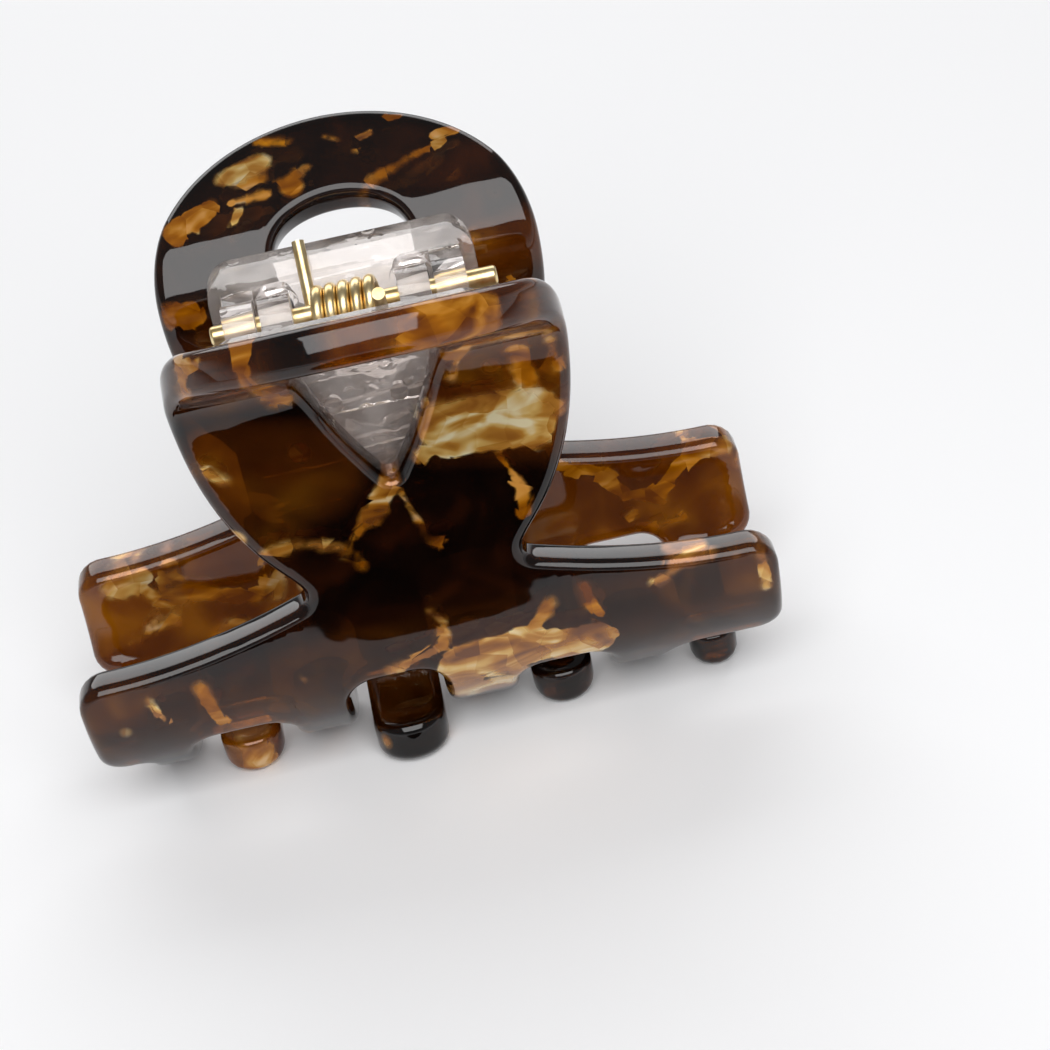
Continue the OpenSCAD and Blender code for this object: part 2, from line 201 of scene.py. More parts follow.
def blank_mesh(name):
    """Flat blank: both faces filled with small triangles, rims rounded ring by ring."""
    loops = [evenly(outer, edge_step), evenly(hole, edge_step)]
    edge_points = np.concatenate(loops)
    links = []
    for base, loop in zip((0, len(loops[0])), loops):
        links += [(base + i, base + (i + 1) % len(loop)) for i in range(len(loop))]
    # triangular grid of points inside the outline, row by row from below the long tooth
    inside = []
    a, b = edge_points[[i for i, _ in links]], edge_points[[j for _, j in links]]
    for k, v in enumerate(np.arange(-long_tooth - 1, top_v, edge_step * 0.9)):
        cross = (a[:, 1] > v) != (b[:, 1] > v)
        share = (v - a[cross, 1]) / (b[cross, 1] - a[cross, 1])
        xs = np.sort(a[cross, 0] + share * (b[cross, 0] - a[cross, 0]))
        for x0, x1 in zip(xs[::2], xs[1::2]):
            grid = np.arange(math.ceil(x0 / edge_step), x1 / edge_step) * edge_step + (k % 2) * edge_step / 2
            inside += [(x, v) for x in grid if x0 < x < x1]
    inside = np.array(inside)
    # grid points close to the edge would make slivers
    near = np.array([np.min(np.sum((edge_points - p) ** 2, 1)) for p in inside])
    inside = inside[near > (0.55 * edge_step) ** 2]
    flat = np.concatenate([edge_points, inside])
    _, _, faces, origin, _, _ = delaunay_2d_cdt([Vector(p) for p in flat], links, [], 1, 1e-5)
    index = [o[0] for o in origin]
    # triangles that lie in the finger hole are left out
    (x_low, v_low), (x_high, v_high) = loops[1].min(0), loops[1].max(0)
    hx, hv = loops[1].T
    nx, nv = np.roll(hx, -1), np.roll(hv, -1)
    tris = []
    for face in faces:
        i = [index[q] for q in face]
        x, v = flat[i].mean(0)
        if x_low < x < x_high and v_low < v < v_high:
            cut = (hv > v) != (nv > v)
            if np.sum(x < hx[cut] + (v - hv[cut]) * (nx[cut] - hx[cut]) / (nv[cut] - hv[cut])) % 2:
                continue
        tris.append(i)
    # section of the rim, each point a distance outwards and a depth n: quarter round, flat
    # band, quarter round
    bend = [math.pi / 2 * i / rim_steps for i in range(rim_steps + 1)]
    half = sheet_t / 2 - rim_r
    section = [(rim_r * math.sin(a), -half - rim_r * math.cos(a)) for a in bend]
    section += [(rim_r * math.cos(a), half + rim_r * math.sin(a)) for a in bend]
    # direction out of the edge at each point, long enough at corners to keep the distance
    outward = []
    for loop in loops:
        before = loop - np.roll(loop, 1, 0)
        before = np.stack([before[:, 1], -before[:, 0]], 1) / np.hypot(*before.T)[:, None]
        after = np.roll(before, -1, 0)
        outward.append((before + after) / (1 + np.sum(before * after, 1))[:, None])
    outward = np.concatenate(outward)
    mesh = bmesh.new()
    rings = [[mesh.verts.new((x, n, v)) for x, v in edge_points + out * outward] for out, n in section]
    low = rings[0] + [mesh.verts.new((x, -sheet_t / 2, v)) for x, v in inside]
    high = rings[-1] + [mesh.verts.new((x, sheet_t / 2, v)) for x, v in inside]
    for i, j, k in tris:
        mesh.faces.new((low[i], low[j], low[k]))
        mesh.faces.new((high[k], high[j], high[i]))
    for lower, upper in zip(rings, rings[1:]):
        for i, j in links:
            mesh.faces.new((lower[j], lower[i], upper[i], upper[j]))
    bmesh.ops.recalc_face_normals(mesh, faces=mesh.faces)
    bmesh.ops.scale(mesh, vec=(MM, MM, MM), verts=mesh.verts)
    for face in mesh.faces:
        face.smooth = True
    made = bpy.data.meshes.new(name)
    mesh.to_mesh(made)
    mesh.free()
    return made


# ---- Tortoiseshell acetate ------------------------------------------------
# Cellulose acetate block: clear dark-brown sheet in which honey-coloured chips
# and chips of pearl (mica) are pressed. Polished by tumbling, so it is glossy, and
# light from behind glows brown through the dark part.


def linear(code):
    """Colour for a shader from its sRGB hex value."""
    rgb = [int(code[i:i + 2], 16) / 255 for i in (1, 3, 5)]
    return [c / 12.92 if c <= 0.04045 else ((c + 0.055) / 1.055) ** 2.4 for c in rgb] + [1.0]


def add(tree, kind, inputs=None, stops=(), **settings):
    """A node with its settings. An input is a value to set, or a socket or node to link, where
    a node stands for its first output. Stops are (position, hex colour) of a colour ramp."""
    node = tree.nodes.new(kind)
    for name, value in settings.items():
        setattr(node, name, value)
    for socket, value in (inputs or {}).items():
        if isinstance(value, bpy.types.Node):
            value = value.outputs[0]
        if isinstance(value, bpy.types.NodeSocket):
            tree.links.new(value, node.inputs[socket])
        else:
            node.inputs[socket].default_value = value
    for i, (at, code) in enumerate(stops):
        stop = node.color_ramp.elements[i] if i < 2 else node.color_ramp.elements.new(at)
        stop.position, stop.color = at, linear(code)
    return node


def new_material(name):
    """A material with an empty node tree, and that tree."""
    material = bpy.data.materials.new(name)
    material.use_nodes = True
    material.node_tree.nodes.clear()
    return material, material.node_tree


# The pattern lies in the flat blank, in mm. A chip attribute is the distance to the nearest
# placed chip in mm, silk its share of pearl, amber how thin the dye is there. A colour Mix
# takes its two colours at inputs 6 and 7 and gives the result at output 2.
acetate, tree = new_material("tortoiseshell_cellulose_acetate_polished")
blank = add(tree, "ShaderNodeAttribute", attribute_name="blank").outputs["Vector"]
place = add(tree, "ShaderNodeVectorMath", {0: blank, "Scale": 1000.0}, operation="SCALE")
chip = add(tree, "ShaderNodeAttribute", attribute_name="chip").outputs["Fac"]
silk = add(tree, "ShaderNodeAttribute", attribute_name="silk").outputs["Fac"]
amber = add(tree, "ShaderNodeAttribute", attribute_name="amber").outputs["Fac"]
# broken edges of the chips: straight splinters about 2 mm long with a little raggedness
splinter = add(tree, "ShaderNodeTexVoronoi", {"Vector": place, "Scale": 0.45, "Randomness": 1.0},
               feature="F1")
shard = add(tree, "ShaderNodeSeparateColor", {"Color": splinter.outputs["Color"]})
shift = add(tree, "ShaderNodeMath", {0: shard, 1: 0.6, 2: chip}, operation="MULTIPLY_ADD")
rag = add(tree, "ShaderNodeTexNoise", {"Vector": place, "Scale": 0.9, "Detail": 2.0, "Roughness": 0.4})
edge = add(tree, "ShaderNodeMath", {0: rag, 1: 0.8, 2: shift}, operation="MULTIPLY_ADD")
# a chip that lies deeper in the sheet shows a softer edge
depth = add(tree, "ShaderNodeTexNoise", {"Vector": place, "Scale": 0.17, "Detail": 1.0})
blur = add(tree, "ShaderNodeMapRange",
           {"Value": depth, "From Min": 0.42, "From Max": 0.66, "To Min": 0.08, "To Max": 0.6})
inner = add(tree, "ShaderNodeMath", {0: 0.62, 1: blur}, operation="SUBTRACT")
limit = add(tree, "ShaderNodeMath", {0: 0.62, 1: blur}, operation="ADD")
is_chip = add(tree, "ShaderNodeMapRange", {"Value": edge, "From Min": limit, "From Max": inner},
              interpolation_type="SMOOTHSTEP")
# a few loose round flakes between the large chips, about 2 mm across
cell = add(tree, "ShaderNodeTexVoronoi", {"Vector": place, "Scale": 0.3, "Randomness": 1.0}, feature="F1")
pick = add(tree, "ShaderNodeSeparateColor", {"Color": cell.outputs["Color"]})
some = add(tree, "ShaderNodeMath", {0: pick, 1: 0.93}, operation="GREATER_THAN")
close = add(tree, "ShaderNodeMapRange",
            {"Value": cell.outputs["Distance"], "From Min": 0.36, "From Max": 0.24})
fleck = add(tree, "ShaderNodeMath", {0: some, 1: close}, operation="MULTIPLY")
solid = add(tree, "ShaderNodeMath", {0: is_chip, 1: fleck}, operation="MAXIMUM")
# clear body: near-black brown with redder clouds, and amber where the dye is thin
cloud = add(tree, "ShaderNodeTexNoise", {"Vector": place, "Scale": 0.16, "Detail": 1.5, "Distortion": 0.8})
dark = add(tree, "ShaderNodeValToRGB", {"Fac": cloud},
           [(0.4, "#100401"), (0.54, "#1c0902"), (0.7, "#421b04")])
light = add(tree, "ShaderNodeValToRGB", {"Fac": cloud},
            [(0.34, "#6a2f03"), (0.54, "#8f4a06"), (0.7, "#bd740c")])
body = add(tree, "ShaderNodeMix", {0: amber, 6: dark, 7: light}, data_type="RGBA").outputs[2]
# honey chips: even colour with slow change; pearl chips: satin folds, their palest cream a painted glint of
# light caught on the folds
fold_at = add(tree, "ShaderNodeMapping",
              {"Vector": place, "Rotation": (0.0, 0.6, 0.0), "Scale": (0.2, 0.4, 0.42)})
fold = add(tree, "ShaderNodeTexNoise",
           {"Vector": fold_at, "Scale": 1.0, "Detail": 2.0, "Roughness": 0.4, "Distortion": 1.1})
facet = add(tree, "ShaderNodeMath", {0: shard.outputs[1], 1: 0.5}, operation="SUBTRACT")
tone = add(tree, "ShaderNodeMath", {0: facet, 1: 0.16, 2: fold}, operation="MULTIPLY_ADD")
honey = add(tree, "ShaderNodeValToRGB", {"Fac": tone}, [(0.3, "#6a3200"), (0.5, "#a05c00"), (0.7, "#d08608")])
pearl_and_painted_glints = add(tree, "ShaderNodeValToRGB", {"Fac": tone},
            [(0.3, "#6e3a06"), (0.42, "#a46414"), (0.52, "#c4862c"), (0.6, "#e6bc68"), (0.7, "#fff0c4")])
chips = add(tree, "ShaderNodeMix", {0: silk, 6: honey, 7: pearl_and_painted_glints}, data_type="RGBA").outputs[2]
colour = add(tree, "ShaderNodeMix", {0: solid, 6: body, 7: chips}, data_type="RGBA").outputs[2]
# pearl glints like satin under the clear surface, and the rest is clear and glossy
glint = add(tree, "ShaderNodeMath", {0: solid, 1: silk}, operation="MULTIPLY")
clear = add(tree, "ShaderNodeMapRange", {"Value": solid, "To Min": 0.76, "To Max": 0.3})
metal = add(tree, "ShaderNodeMath", {0: glint, 1: 0.45}, operation="MULTIPLY")
rough = add(tree, "ShaderNodeMapRange", {"Value": glint, "To Min": 0.04, "To Max": 0.32})
# polished by tumbling: the faces stay a little wavy
wave = add(tree, "ShaderNodeTexNoise", {"Vector": place, "Scale": 0.13, "Detail": 2.0})
bump = add(tree, "ShaderNodeBump", {"Strength": 0.22, "Distance": 0.0006, "Height": wave})
shell = add(tree, "ShaderNodeBsdfPrincipled", {
    "Base Color": colour, "Metallic": metal, "Roughness": rough, "IOR": 1.49, "Transmission Weight": clear,
    "Coat Weight": glint, "Coat Roughness": 0.04, "Coat IOR": 1.49, "Normal": bump})
add(tree, "ShaderNodeOutputMaterial", {"Surface": shell})

# ---- Bending formers -------------------------------------------------------
# The warm blank is pressed over two formers: one curls the teeth in, the other
# flares the finger paddle out. The wall between them leans in 3 degrees.
# the wall: how far its foot stands from the clip's middle, and its lean
wall_y = 8.4
lean = math.radians(-3)
# tooth former: radius, where the bend begins, angle it reaches round (more than a tooth needs)
tooth_bend_r = 13.0
tooth_bend_v = math.radians(51) * tooth_bend_r
tooth_turn = 2.0
# flare former: radius, where the bend begins, how far it turns the sheet
flare_bend_r = 9.0
flare_v = 33.0
flare_turn = math.radians(64)


def shaping_tree(name, inputs):
    """A Geometry Nodes tree with the named inputs, each (name, kind), and its input node's outputs."""
    tree = bpy.data.node_groups.new(name, "GeometryNodeTree")
    for label, kind in (("Geometry", "Geometry"), *inputs):
        tree.interface.new_socket(label, in_out="INPUT", socket_type="NodeSocket" + kind)
    tree.interface.new_socket("Geometry", in_out="OUTPUT", socket_type="NodeSocketGeometry")
    return tree, add(tree, "NodeGroupInput").outputs


formers, given = shaping_tree("bending_formers", (
    ("Flare line", "Float"), ("Flare radius", "Float"), ("Flare angle", "Float"), ("Tooth line", "Float"),
    ("Tooth radius", "Float"), ("Lean", "Float"), ("Wall foot", "Vector"), ("Half turn", "Float"),
    ("Acetate", "Material")))
spot = add(formers, "GeometryNodeInputPosition")
keep = add(formers, "GeometryNodeStoreNamedAttribute",
           {"Geometry": given["Geometry"], "Name": "blank", "Value": spot},
           data_type="FLOAT_VECTOR", domain="POINT")
# paddle: above the flare line the sheet wraps round a former outside the wall
height = add(formers, "ShaderNodeSeparateXYZ", {"Vector": spot}).outputs["Z"]
flare_end = add(formers, "ShaderNodeMath",
                {0: given["Flare radius"], 1: given["Flare angle"], 2: given["Flare line"]},
                operation="MULTIPLY_ADD")
flare_by = add(formers, "ShaderNodeMapRange", {
    "Value": height, "From Min": given["Flare line"], "From Max": flare_end, "To Min": 0.0,
    "To Max": given["Flare angle"]})
flare_used = add(formers, "ShaderNodeMath", {0: flare_by, 1: given["Flare radius"]}, operation="MULTIPLY")
flare_drop = add(formers, "ShaderNodeCombineXYZ", {"Z": flare_used})
flare_from = add(formers, "ShaderNodeVectorMath", {0: spot, 1: flare_drop}, operation="SUBTRACT")
flare_back = add(formers, "ShaderNodeMath", {0: given["Flare radius"], 1: -1.0}, operation="MULTIPLY")
flare_axis = add(formers, "ShaderNodeCombineXYZ", {"Y": flare_back, "Z": given["Flare line"]})
flared = add(formers, "ShaderNodeVectorRotate",
             {"Vector": flare_from, "Center": flare_axis, "Angle": flare_by}, rotation_type="X_AXIS")
# teeth: below the tooth line the sheet wraps round a former inside the wall
tooth_end = add(formers, "ShaderNodeMath", {0: given["Tooth radius"], 1: -tooth_turn, 2: given["Tooth line"]},
                operation="MULTIPLY_ADD")
tooth_by = add(formers, "ShaderNodeMapRange", {
    "Value": height, "From Min": given["Tooth line"], "From Max": tooth_end, "To Min": 0.0,
    "To Max": tooth_turn})
tooth_used = add(formers, "ShaderNodeMath", {0: tooth_by, 1: given["Tooth radius"]}, operation="MULTIPLY")
tooth_rise = add(formers, "ShaderNodeCombineXYZ", {"Z": tooth_used})
tooth_from = add(formers, "ShaderNodeVectorMath", {0: flared, 1: tooth_rise}, operation="ADD")
tooth_axis = add(formers, "ShaderNodeCombineXYZ", {"Y": given["Tooth radius"], "Z": given["Tooth line"]})
curled = add(formers, "ShaderNodeVectorRotate",
             {"Vector": tooth_from, "Center": tooth_axis, "Angle": tooth_by}, rotation_type="X_AXIS")
# the bent jaw leans about the tooth line and stands at its place; the rear one is turned
foot_at = add(formers, "ShaderNodeCombineXYZ", {"Z": given["Tooth line"]})
leaned = add(formers, "ShaderNodeVectorRotate", {"Vector": curled, "Center": foot_at, "Angle": given["Lean"]},
             rotation_type="X_AXIS")
level = add(formers, "ShaderNodeVectorMath", {0: leaned, 1: foot_at}, operation="SUBTRACT")
stood = add(formers, "ShaderNodeVectorMath", {0: level, 1: given["Wall foot"]}, operation="ADD")
turned = add(formers, "ShaderNodeVectorRotate", {"Vector": stood, "Angle": given["Half turn"]},
             rotation_type="Z_AXIS")
bent = add(formers, "GeometryNodeSetPosition", {"Geometry": keep, "Position": turned})
whole = add(formers, "GeometryNodeRealizeInstances", {"Geometry": bent})
dressed = add(formers, "GeometryNodeSetMaterial", {"Geometry": whole, "Material": given["Acetate"]})
add(formers, "NodeGroupOutput", {"Geometry": dressed})

# ---- Front and rear jaw ----------------------------------------------------
# Two jaws from the same blank, one turned round so that its teeth fall between
# the other's. The chips lie differently in each, as they were cut side by side.
# A chip: from (x, v) to (x, v), half width in mm, and how much pearl is in it.
front_chips = [
    # large pearl chip beside the hole, and the honey ones above it
    (5.6, 29.8, 11.4, 29.2, 2.9, 1), (8, 27.6, 13, 27.8, 1.0, 1), (2.6, 27.6, 4.6, 29, 0.8, 1),
    (12.2, 31.5, 14.2, 29.5, 1.0, 0.8), (7, 37.5, 8.6, 39.6, 0.6, 0.2), (8.6, 39.6, 14.4, 39, 0.6, 0.2),
    (12, 36.4, 12.4, 32.4, 0.9, 0.1), (14.6, 38.4, 14.9, 33, 0.5, 0.3), (6.4, 34.5, 7.4, 37.5, 0.4, 0.2),
    # other side of the hole
    (-8.4, 48, -9, 42.4, 1.0, 0.1), (-9, 42.4, -7.1, 36.4, 1.0, 0.1), (-13.6, 48, -14, 41, 0.4, 0.3),
    (-14.3, 30.6, -13.2, 29.4, 0.55, 1),
    # strands that meet under the hole's point
    (-11.6, 22, -8.6, 22.2, 0.45, 0.6), (-8.6, 22.2, -5.4, 21.2, 0.5, 1), (-5, 20.6, -2.6, 23, 0.5, 0.3),
    (-2.6, 23, 0, 26.2, 0.8, 0.6), (-4.2, 20.4, -4, 19, 0.35, 0.1), (0.4, 25, 1.6, 21, 0.1, 0.3),
    (2.4, 19.4, 3.4, 19.7, 0.4, 0.3), (8.8, 26.4, 10.2, 23, 0.45, 0.1), (10.2, 23, 9.9, 20.6, 0.5, 0.1),
    # large chip over the arch of the bar, with its branches
    (-3.4, 8.4, 0.2, 9.4, 0.6, 0.9), (0.9, 9.6, 1.3, 11, 0.6, 0.4), (2, 7, 8, 7.3, 2.4, 0.9),
    (8, 7.2, 13.6, 6.4, 2.0, 0.8), (2, 3, 12.6, 2.6, 1.8, 0.7), (8.6, 9.4, 10.4, 11.4, 0.5, 0.2),
    (0.6, 13.2, 1.5, 11.8, 0.3, 1), (13.4, 12.2, 14.4, 9.4, 0.7, 0),
    # splinters near the ends of the bar
    (-19.6, 10.6, -18.8, 7, 0.6, 0.1), (-24, 10.4, -23.2, 8.4, 0.45, 1), (-11.2, 9.5, -11, 9.3, 0.15, 1),
    (19.3, 11.2, 21.6, 12, 0.35, 1), (21.2, 12.3, 23.8, 12.8, 0.8, 0.8), (28.6, 8.4, 28.6, 12, 0.55, 0.8),
    # paddle's rim, and two teeth
    (-14.5, 44, -11, 49, 0.8, 0.4), (4, 50.4, 11, 47.6, 1.1, 0.05), (-8, 44.8, -4, 46.5, 0.9, 0.4),
    (10, 44, 13.6, 42, 0.8, 0.2), (-13, 1, -10, -4, 0.8, 0.2), (5, -9, 2.6, -5, 0.6, 0.1)]
rear_chips = [
    # paddle, left and right of the hole
    (5.4, 46.8, 8.2, 46, 1.0, 1), (5.4, 45.2, 8, 44.8, 0.3, 0.2), (5.2, 43.6, 8.4, 43.4, 0.55, 0.1),
    (10.2, 43.2, 13.2, 42, 1.0, 0.15), (7.6, 42.8, 8.8, 41.6, 0.55, 1), (11.2, 41.8, 11.8, 41.6, 0.4, 1),
    (1.3, 45.4, 2.3, 45, 0.4, 0.9), (2.3, 45, 4, 44.2, 0.42, 0.1), (-4.2, 47.4, -3, 47, 0.5, 1),
    (-3, 47, -3, 46, 0.3, 0.5), (-1.6, 47.3, -0.4, 48, 0.3, 0.1), (-11.2, 46, -9.2, 45.8, 0.35, 0.2),
    (-9.8, 45.1, -8.8, 44.6, 0.35, 0.7), (-9, 44.8, -3.6, 42.8, 0.26, 0.1),
    (-3.6, 42.8, -1.6, 41.4, 0.35, 0.4), (2.4, 48.2, 5.2, 49, 0.4, 0), (-6.8, 48.6, -5.6, 48.8, 0.3, 0),
    (13.4, 36.2, 15.2, 36, 1.0, 0.1), (-10.8, 37, -10.4, 36.6, 0.4, 0.1),
    # one end of the bar: a honey bar that runs into a cloud of pearl
    (21.4, 11.8, 21.6, 8.4, 1.1, 0.7), (14.6, 6.5, 20.6, 8.9, 0.9, 0.1), (24, 11.6, 26.4, 11, 1.3, 0.8),
    (23, 8.6, 24.4, 10.6, 0.9, 0.7), (23.6, 6.6, 26.6, 4.6, 0.3, 0.3), (13.3, 10.6, 13.6, 7.6, 0.35, 0.1),
    (11.4, 10, 13, 6.6, 0.8, 0.5), (22, 6.5, 26, 4.8, 0.4, 0.5),
    # other end of the bar: one bent strand
    (-28.6, 11.6, -25.6, 12.2, 0.8, 0.4), (-25.8, 12, -22.4, 8.4, 1.0, 0.05),
    (-13.8, 13.8, -18, 11.6, 0.8, 0.05), (-18, 11.6, -19.6, 9, 0.8, 0.1), (-19.6, 9, -22.4, 7.6, 0.6, 0.15),
    (-19.8, 6.6, -18.8, 5.8, 0.25, 0.2), (-24, 5, -15, 4, 0.5, 0.1),
    # back of the waist, and the teeth
    (6, 20, 12, 26, 0.8, 0.3), (-12, 28, -8, 22, 1.2, 1), (-6, 12, 4, 9, 1.3, 0.8),
    (-13, 33, -10, 30, 0.7, 0.2), (8, 31, 13, 33, 0.9, 0.5), (-24, -4, -23, 0, 0.5, 0.1),
    # the last two chips, on one tooth, are paled with pearl: partly the chips' colour, partly a painted glow
    # of light shining through that tooth
    (10, -6, 11, -2, 0.5, 0.4), (17, 3.5, 17.4, -1, 1.5, 0.45), (17.6, -4, 17.2, -9, 1.5, 0.45)]
# A zone of thin dye, where the clear body is amber: the same, with how thin at the end. It
# fades out over this distance in mm.
zone_edge = 2.0
front_zones = [
    (6, 35, 14, 37, 3.4, 0.6), (5, 31, 13, 29, 3.0, 0.5), (-12, 31, -6, 28.5, 3.2, 0.42),
    (-13, 27, -10, 24, 1.2, 0.3), (-13, 41, 13, 41, 3.6, 0.35), (-28, 8, -14, 6, 3.2, 0.3),
    (-12, 8, 28, 8, 3.4, 0.2), (1, 51, 13, 46, 2.4, 1.0), (-13, 46, -9, 49, 1.2, 0.5),
    (26, 7, 28, 12, 1.5, 0.3)]
rear_zones = [
    (13, 7, 29, 8, 6.0, 0.6), (-29, 8, -13, 7, 6.0, 0.6), (17.2, 2, 17.2, -10, 2.4, 1.0),
    (4, 6, 4, -8, 2.6, 0.35), (-15, 36, -11, 35, 1.2, 0.4)]
# a point with no chip near it is given this distance
nowhere = 9.0


def new_piece(name, data):
    """An object made of that mesh, lamp or camera, linked into the scene."""
    piece = bpy.data.objects.new(name, data)
    bpy.context.scene.collection.objects.link(piece)
    return piece


def settle(piece, tree, **values):
    """Runs a node tree on the piece and keeps the result as plain mesh. The values are the
    tree's named inputs, with underscores for spaces."""
    modifier = piece.modifiers.new("nodes", "NODES")
    modifier.node_group = tree
    for item in tree.interface.items_tree:
        if item.in_out == "INPUT" and item.name.replace(" ", "_") in values:
            modifier[item.identifier] = values[item.name.replace(" ", "_")]
    graph = bpy.context.evaluated_depsgraph_get()
    result = bpy.data.meshes.new_from_object(
        piece.evaluated_get(graph), preserve_all_data_layers=True, depsgraph=graph)
    piece.modifiers.remove(modifier)
    piece.data = result


blank_flat = blank_mesh("jaw_blank")
spots = np.empty(len(blank_flat.vertices) * 3)
blank_flat.vertices.foreach_get("co", spots)
spots = spots.reshape(-1, 3) / MM
for name, chip_list, zones, turn, body_name in (
        ("front_jaw", front_chips, front_zones, 0.0, "front_side"),
        ("rear_jaw", rear_chips, rear_zones, math.pi, "rear_side")):
    # distance to the nearest chip, its share of pearl, and how thin the dye is
    near = np.full(len(spots), nowhere)
    pearly = np.zeros(len(spots))
    thin = np.zeros(len(spots))
    for i, (x0, v0, x1, v1, width, share) in enumerate(chip_list + zones):
        start, run = np.array([x0, v0]), np.array([x1 - x0, v1 - v0])
        away = spots[:, [0, 2]] - start
        along = np.clip(away @ run / max(run @ run, 1e-6), 0, 1)
        gap = np.hypot(*(away - along[:, None] * run).T) - width
        if i < len(chip_list):
            pearly = np.where(gap < near, share, pearly)
            near = np.minimum(near, gap)
        else:
            thin = np.maximum(thin, share * np.clip(1 - gap / zone_edge, 0, 1))
    mesh = blank_flat.copy()
    for label, values in (("chip", near), ("silk", pearly), ("amber", thin)):
        mesh.attributes.new(label, "FLOAT", "POINT").data.foreach_set("value", values.astype(np.float32))
    jaw = new_piece(name + "_acetate", mesh)
    settle(jaw, formers, Flare_line=flare_v * MM, Flare_radius=flare_bend_r * MM, Flare_angle=flare_turn,
           Tooth_line=tooth_bend_v * MM, Tooth_radius=tooth_bend_r * MM, Lean=lean, Half_turn=turn,
           Wall_foot=(0.0, -wall_y * MM, (sheet_t / 2 + tooth_bend_r + tooth_bend_r * math.sin(-lean)) * MM),
           Acetate=acetate)
    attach(jaw, body_name)
    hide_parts(name)
bpy.data.meshes.remove(blank_flat)

# ---- Hinge plates ----------------------------------------------------------
# Clear polystyrene mouldings cemented inside the jaws, with ribs, knuckles and
# windows. Moulded glossy, edges broken by the mould's small radii.
mould_r = 0.19
plastic, tree = new_material("clear_polystyrene_moulded")
spot = add(tree, "ShaderNodeTexCoord").outputs["Object"]
flow = add(tree, "ShaderNodeTexNoise", {"Vector": spot, "Scale": 260.0, "Detail": 2.0})
# the cement leaves hazy patches, partly painted reflections whose milky white stands for bright light
# mirrored in the plate, and air trapped in the cement shows as small round bubbles
patch = add(tree, "ShaderNodeTexNoise", {"Vector": spot, "Scale": 190.0, "Detail": 2.0, "Distortion": 0.6})
haze_and_painted_reflection = add(tree, "ShaderNodeMapRange",
           {"Value": patch, "From Min": 0.45, "From Max": 0.55, "To Min": 0.9, "To Max": 0.74})
bubble = add(tree, "ShaderNodeTexVoronoi", {"Vector": spot, "Scale": 420.0, "Randomness": 1.0}, feature="F1")
dome = add(tree, "ShaderNodeMapRange",
           {"Value": bubble, "From Min": 0.16, "From Max": 0.3, "To Min": 1.0, "To Max": 0.0},
           interpolation_type="SMOOTHSTEP")
relief = add(tree, "ShaderNodeMath", {0: dome, 1: 0.5, 2: flow}, operation="MULTIPLY_ADD")
ripple = add(tree, "ShaderNodeBump", {"Strength": 0.4, "Distance": 0.0003, "Height": relief})
glass = add(tree, "ShaderNodeBsdfPrincipled", {
    "Base Color": linear("#fbf3ee"), "Roughness": 0.03, "IOR": 1.59, "Transmission Weight": haze_and_painted_reflection,
    "Normal": ripple})
add(tree, "ShaderNodeOutputMaterial", {"Surface": glass})
# the rounded edges show as pale cream lines: a painted highlight, a cream less clear than the faces that
# stands for the light they catch
edge_painted_highlight, tree = new_material("clear_polystyrene_polished_edge")
spot = add(tree, "ShaderNodeTexCoord").outputs["Object"]
trim = add(tree, "ShaderNodeTexNoise", {"Vector": spot, "Scale": 900.0, "Detail": 1.0})
gleam = add(tree, "ShaderNodeMapRange", {"Value": trim, "To Min": 0.0, "To Max": 0.08})
lens = add(tree, "ShaderNodeBsdfPrincipled", {
    "Base Color": linear("#fff6e8"), "Roughness": gleam, "IOR": 1.59, "Transmission Weight": 0.6,
    "Coat Weight": 1.0, "Coat Roughness": 0.02})
add(tree, "ShaderNodeOutputMaterial", {"Surface": lens})
# the bores are drilled, which leaves them matt and white
drilled, tree = new_material("clear_polystyrene_matt")
spot = add(tree, "ShaderNodeTexCoord").outputs["Object"]
grain = add(tree, "ShaderNodeTexNoise", {"Vector": spot, "Scale": 2500.0, "Detail": 2.0})
frost = add(tree, "ShaderNodeMapRange", {"Value": grain, "To Min": 0.4, "To Max": 0.6})
matt = add(tree, "ShaderNodeBsdfPrincipled", {
    "Base Color": linear("#f4efea"), "Roughness": frost, "IOR": 1.59, "Transmission Weight": 0.3})
add(tree, "ShaderNodeOutputMaterial", {"Surface": matt})
pin_low, pin_high = (Vector(c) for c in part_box("hinge_pin"))
pin_r = (pin_high.z - pin_low.z) / 2
pin_z = (pin_high.z + pin_low.z) / 2
# faces this near the pin's axis belong to the bores
bore_reach = pin_r + 0.15 * MM
for name, body_name in (("front_hinge_plate", "front_side"), ("rear_hinge_plate", "rear_side")):
    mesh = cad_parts[name].data.copy()
    plate = new_piece(name + "_clear", mesh)
    # welded, and its flat faces made whole, so that only real edges get rounded
    shape = bmesh.new()
    shape.from_mesh(mesh)
    bmesh.ops.remove_doubles(shape, verts=shape.verts, dist=2e-6)
    bmesh.ops.dissolve_limit(shape, angle_limit=math.radians(1), verts=shape.verts, edges=shape.edges)
    shape.to_mesh(mesh)
    shape.free()
    mesh.materials.clear()
    for material in (plastic, drilled, edge_painted_highlight):
        mesh.materials.append(material)
    for polygon in mesh.polygons:
        polygon.use_smooth = True
        polygon.material_index = int(math.hypot(polygon.center.y, polygon.center.z - pin_z) < bore_reach)
    soften = plate.modifiers.new("mould radii", "BEVEL")
    soften.width = mould_r * MM
    soften.segments = 3
    soften.limit_method = "ANGLE"
    soften.angle_limit = math.radians(35)
    soften.harden_normals = True
    # the rounded faces get the edge material with its painted highlight
    soften.material = 2
    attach(plate, body_name)
    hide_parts(name)

